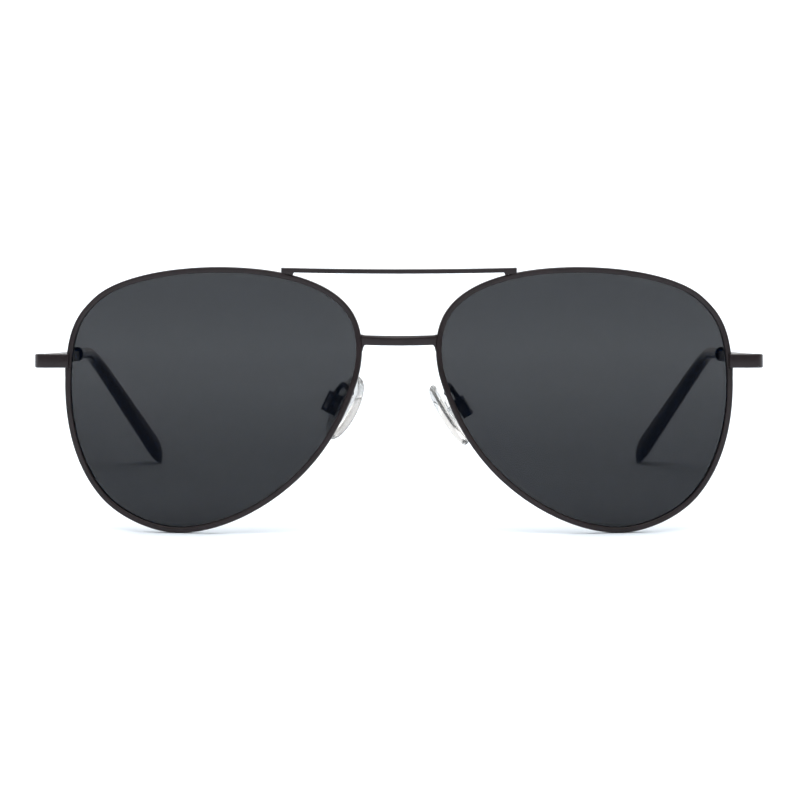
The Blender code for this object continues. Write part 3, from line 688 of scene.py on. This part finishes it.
def make_bridge():
    """The bridge, whose ends widen and run into the rims."""
    stations = []
    count = 96
    half = BRIDGE_HALF + BRIDGE_SINK
    for i in range(count + 1):
        x = half * math.sin(math.pi / 2 * (2 * i / count - 1))
        bow = 1 - (x / BRIDGE_HALF) ** 2
        share = max(abs(x) - (BRIDGE_HALF - BRIDGE_FLARE), 0.0) / BRIDGE_FLARE
        share = min(share, 1.0) ** 3
        bottom = BRIDGE_TOP - BRIDGE_HEIGHT - BRIDGE_FLARE_DOWN * share
        top = BRIDGE_TOP + BRIDGE_FLARE_UP * share
        stations.append((x, BRIDGE_END_Y - BRIDGE_BOW * bow, BRIDGE_DEPTH, bottom, top))
    return swept_bar(stations, BRIDGE_CORNERS)


def add_bars():
    """Brow bar and bridge."""
    add_piece(make_brow_bar(), "brow_bar_look", "front", ["brow_bar"], METAL)
    add_piece(make_bridge(), "bridge_look", "front", ["bridge"], METAL)


# ---------------------------------------------------------------- hinges and temples


def temple_frame(distance):
    """Centre, sideways and upward directions of the temple, some way along it."""
    bend_length = BEND_RADIUS * BEND_ANGLE
    in_bend = min(max(distance - BEND_START, 0.0), bend_length)
    straight = max(distance - BEND_START - bend_length, 0.0)
    bend = in_bend / BEND_RADIUS
    extra = TIP_INWARD - ARM_INWARD
    x = ARM_START_X - ARM_INWARD * distance
    x -= extra * (in_bend**2 / (2 * bend_length) + straight)
    y = min(distance, BEND_START) + BEND_RADIUS * math.sin(bend) + straight * math.cos(bend)
    z = -BEND_RADIUS * (1 - math.cos(bend)) - straight * math.sin(bend)
    inward = ARM_INWARD + extra * in_bend / bend_length
    along = Vector((-inward, math.cos(bend), -math.sin(bend))).normalized()
    sideways = along.cross(Vector((0, math.sin(bend), math.cos(bend)))).normalized()
    return Vector((x, y, z)), sideways, sideways.cross(along)


def placed_ring(distance, outline, rise=0.0):
    """An outline set across the temple's centre line."""
    centre, sideways, up = temple_frame(distance)
    return [centre + sideways * spot.x + up * (spot.y + rise) for spot in outline]


def oval(width, height, steps=40):
    """An ellipse's outline."""
    angles = [2 * math.pi * i / steps for i in range(steps)]
    return [Vector((width / 2 * math.cos(a), height / 2 * math.sin(a))) for a in angles]


def between(table, distance):
    """Values at a distance, between the rows of a table that starts with distances."""
    for start, end in zip(table, table[1:]):
        if start[0] <= distance:
            share = min((distance - start[0]) / (end[0] - start[0]), 1.0)
            values = [a + (b - a) * share for a, b in zip(start[1:], end[1:])]
    return values


def make_temple_arm():
    """The flat arm and the round core wire inside the tip."""
    rings = []
    for distance, inset in ARM_END_EDGE:
        width = ARM_THICKNESS - 2 * inset
        height = ARM_HEIGHTS[0][1] - 2 * inset
        rings.append(placed_ring(distance, rounded_box(width, height, ARM_END_CORNERS, 9)))
    start = ARM_END_EDGE[-1][0]
    end = ARM_HEIGHTS[-1][0]
    count = 39
    for i in range(1, count + 1):
        distance = start + (end - start) * i / count
        height = between(ARM_HEIGHTS, distance)[0]
        rings.append(placed_ring(distance, rounded_box(ARM_THICKNESS, height, ARM_CORNERS, 9)))
    core = 2 * CORE_RADIUS
    almost_round = (0.499 * core,) * 4
    start = end + SHOULDER
    count = 30
    for i in range(count + 1):
        distance = start + (CORE_END - start) * i / count
        rings.append(placed_ring(distance, rounded_box(core, core, almost_round, 9), SLEEVE_RISE))
    return loft(rings)


def make_temple_tip():
    """The plastic tip: a curved paddle with a rounded mouth and a blind channel."""
    start, width, height = SLEEVE_SIZES[0]
    outer = []
    for back, inset in SLEEVE_MOUTH[:-1]:
        outline = oval(width - 2 * inset, height - 2 * inset)
        outer.append(placed_ring(start + back, outline, SLEEVE_RISE))
    body_start = start + SLEEVE_MOUTH[-1][0]
    dome_start, width, height = SLEEVE_SIZES[-1]
    count = 80
    for i in range(count + 1):
        distance = body_start + (dome_start - body_start) * i / count
        outer.append(placed_ring(distance, oval(*between(SLEEVE_SIZES, distance)), SLEEVE_RISE))
    count = 18
    for i in range(1, count):
        swing = math.pi / 2 * i / count
        scale = math.cos(swing)
        distance = dome_start + TIP_DOME * math.sin(swing)
        rise = SLEEVE_RISE - TIP_DROOP * (1 - scale)
        outer.append(placed_ring(distance, oval(width * scale, height * scale), rise))
    channel = []
    bore = oval(2 * CHANNEL_RADIUS, 2 * CHANNEL_RADIUS)
    count = 40
    for i in range(count + 1):
        distance = CHANNEL_END - (CHANNEL_END - start) * i / count
        channel.append(placed_ring(distance, bore, SLEEVE_RISE))
    channel_point = placed_ring(CHANNEL_END, [Vector((0, 0))], SLEEVE_RISE)[0]
    tip_point = placed_ring(dome_start + TIP_DOME, [Vector((0, 0))], SLEEVE_RISE - TIP_DROOP)[0]
    return loft(channel + outer, start=channel_point, end=tip_point)


def add_temples():
    """Endpieces, hinges, arms and tips."""
    turn = Matrix.Translation(HINGE) @ Matrix.Rotation(-TEMPLE_SLOPE, 4, "X")
    for name, side in SIDES:
        temple = f"temple_{name}"
        softened(f"endpiece_{name}", "front", METAL, ENDPIECE_EDGE)
        softened(f"hinge_front_leaf_{name}", "front", METAL, HINGE_EDGE)
        softened(f"hinge_temple_leaf_{name}", temple, METAL, HINGE_EDGE)
        softened(f"hinge_screw_{name}", "front", STEEL, HINGE_SCREW_EDGE)
        arm = make_temple_arm()
        nodes = [f"temple_arm_{name}"]
        add_piece(arm, f"temple_arm_{name}_look", temple, nodes, ARM_METAL, side, turn)
        tip = make_temple_tip()
        nodes = [f"temple_tip_{name}"]
        add_piece(tip, f"temple_tip_{name}_look", temple, nodes, PLASTIC, side, turn)


# ---------------------------------------------------------------- nose pads


def pad_turn(name):
    """The pad's own directions: x across the pad, y up its length and z towards the nose."""
    _, lean_angle, splay = PAD_POSES[name]
    lean = Matrix.Rotation(-lean_angle, 3, "Y")
    up = lean @ Vector((0, 0, 1))
    nose = Matrix.Rotation(-splay, 3, up) @ (lean @ Vector((-1, 0, 0)))
    return Matrix((up.cross(nose), up, nose)).transposed()


def make_nose_pad():
    """A crowned soft pad with a pocket for its insert."""
    steps = 72
    rings = []
    for scale, z in PAD_PROFILE:
        ring = []
        for i in range(steps):
            angle = 2 * math.pi * i / steps
            width = PAD_HALF_WIDTH + PAD_TAPER * math.sin(angle)
            across = scale * width * math.cos(angle)
            ring.append(Vector((across, scale * PAD_HALF_LENGTH * math.sin(angle), z)))
        rings.append(ring)
    pad = loft(rings, start=Vector((0, 0, PAD_BACK)), end=Vector((0, 0, PAD_CROWN)))
    cut_out(pad, block(*PAD_POCKET))
    return pad


def make_pad_arm(name):
    """The bent wire, flared where it is brazed to the rim and to the box."""
    down = pad_turn(name) @ Vector((0, -1, 0))
    axis = PAD_POSES[name][0] + pad_turn(name) @ Vector((0, 0, -PAD_AXIS_OFFSET))
    box_top = axis - down * BOX_TOP
    knots = [*WIRE_KNOTS[name], box_top - down * 0.5]
    points = smooth_line(knots, Vector((0, 2.5, 0)), down * 0.8, 14)
    points += [box_top - down * 0.25, box_top]  # the wire's last stretch is straight
    rings = []
    last = len(points) - 1
    steps = 24
    for i, point in enumerate(points):
        along = (points[min(i + 1, last)] - points[max(i - 1, 0)]).normalized()
        sideways = along.cross(Vector((1, 0, 0))).normalized()
        up = sideways.cross(along)
        near = min((point - points[0]).length, (point - points[-1]).length)
        radius = WIRE_RADIUS + WIRE_FLARE * math.exp(-near / WIRE_FLARE_LENGTH)
        ring = []
        for k in range(steps):
            angle = 2 * math.pi * k / steps
            ring.append(point + (sideways * math.cos(angle) + up * math.sin(angle)) * radius)
        rings.append(ring)
    return loft(rings)


def add_pads():
    """Nose pads, inserts, boxes, screws and arms."""
    for name, side in SIDES:
        turn = Matrix.Translation(PAD_POSES[name][0]) @ pad_turn(name).to_4x4()
        body = f"nose_pad_{name}_body"
        pad = make_nose_pad()
        nodes = [f"nose_pad_{name}"]
        add_piece(pad, f"nose_pad_{name}_look", body, nodes, SILICONE, side, turn)
        softened(f"pad_insert_{name}", body, INSERT, INSERT_EDGE)
        softened(f"pad_box_{name}", "front", METAL, BOX_EDGE)
        softened(f"pad_screw_{name}", "front", STEEL, PAD_SCREW_EDGE)
        nodes = [f"pad_arm_{name}"]
        arm = make_pad_arm(name)
        add_piece(arm, f"pad_arm_{name}_look", "front", nodes, METAL, side)


# ---------------------------------------------------------------- studio


def make_floor():
    """A plain white floor."""
    bm = bmesh.new()
    bmesh.ops.create_grid(bm, x_segments=1, y_segments=1, size=FLOOR_HALF)
    floor = solid(bm, "floor")
    nodes = Nodes("floor_white")
    nodes.set(Roughness=0.9, Specular_IOR_Level=0.0)
    darker = tuple(FLOOR_UNEVENNESS * value for value in FLOOR_PAINT)
    paint = nodes.ramp(nodes.noise(3.0), ((0.3, darker), (0.7, FLOOR_PAINT)))
    nodes.link(paint, nodes.shader, "Base Color")
    floor.data.materials.append(nodes.material)


def world_ramp(tree, factor, stops):
    """Grey values along a factor."""
    node = tree.nodes.new("ShaderNodeValToRGB")
    tree.links.new(factor, node.inputs["Fac"])
    return fill_ramp(node, stops)


def make_world():
    """The room's light: dim in front, brighter behind, a soft box and a bright horizon."""
    world = bpy.data.worlds.new("studio")
    bpy.context.scene.world = world
    world.use_nodes = True
    tree = world.node_tree
    direction = tree.nodes.new("ShaderNodeTexCoord").outputs["Generated"]
    split = tree.nodes.new("ShaderNodeSeparateXYZ")
    tree.links.new(direction, split.inputs["Vector"])
    depth = tree.nodes.new("ShaderNodeMapRange")
    depth.inputs["From Min"].default_value = -1.0
    tree.links.new(split.outputs["Y"], depth.inputs["Value"])
    room = world_ramp(tree, depth.outputs["Result"], ROOM_FRONT_TO_BACK)
    toward = tree.nodes.new("ShaderNodeVectorMath")
    toward.operation = "DOT_PRODUCT"
    tree.links.new(direction, toward.inputs[0])
    toward.inputs[1].default_value = SOFT_BOX_MIDDLE
    box = world_ramp(tree, toward.outputs["Value"], SOFT_BOX)
    brighter = tree.nodes.new("ShaderNodeVectorMath")
    brighter.operation = "SCALE"
    tree.links.new(box, brighter.inputs[0])
    brighter.inputs["Scale"].default_value = SOFT_BOX_BRIGHTNESS
    horizon = world_ramp(tree, split.outputs["Z"], HORIZON)
    total = room
    for part in (brighter.outputs["Vector"], horizon):
        add = tree.nodes.new("ShaderNodeVectorMath")
        tree.links.new(total, add.inputs[0])
        tree.links.new(part, add.inputs[1])
        total = add.outputs["Vector"]
    tree.links.new(total, tree.nodes["Background"].inputs["Color"])


def add_camera():
    """The camera, in front of the glasses and a little above them."""
    data = bpy.data.cameras.new("camera")
    data.sensor_width = 36.0
    data.lens = FOCAL_LENGTH
    data.clip_start = 0.01
    data.clip_end = 50.0
    camera = bpy.data.objects.new("camera", data)
    place = Vector((CAMERA_ASIDE, FRONT_Y - CAMERA_DISTANCE, CAMERA_HEIGHT)) * MM
    target = Vector((CAMERA_ASIDE, FRONT_Y, AIM_HEIGHT)) * MM
    camera.location = place
    camera.rotation_euler = (target - place).to_track_quat("-Z", "Y").to_euler()
    bpy.context.scene.collection.objects.link(camera)
    bpy.context.scene.camera = camera


add_rims()
add_bars()
add_temples()
add_pads()
make_floor()
make_world()
add_camera()
bpy.context.scene.view_settings.view_transform = "Standard"
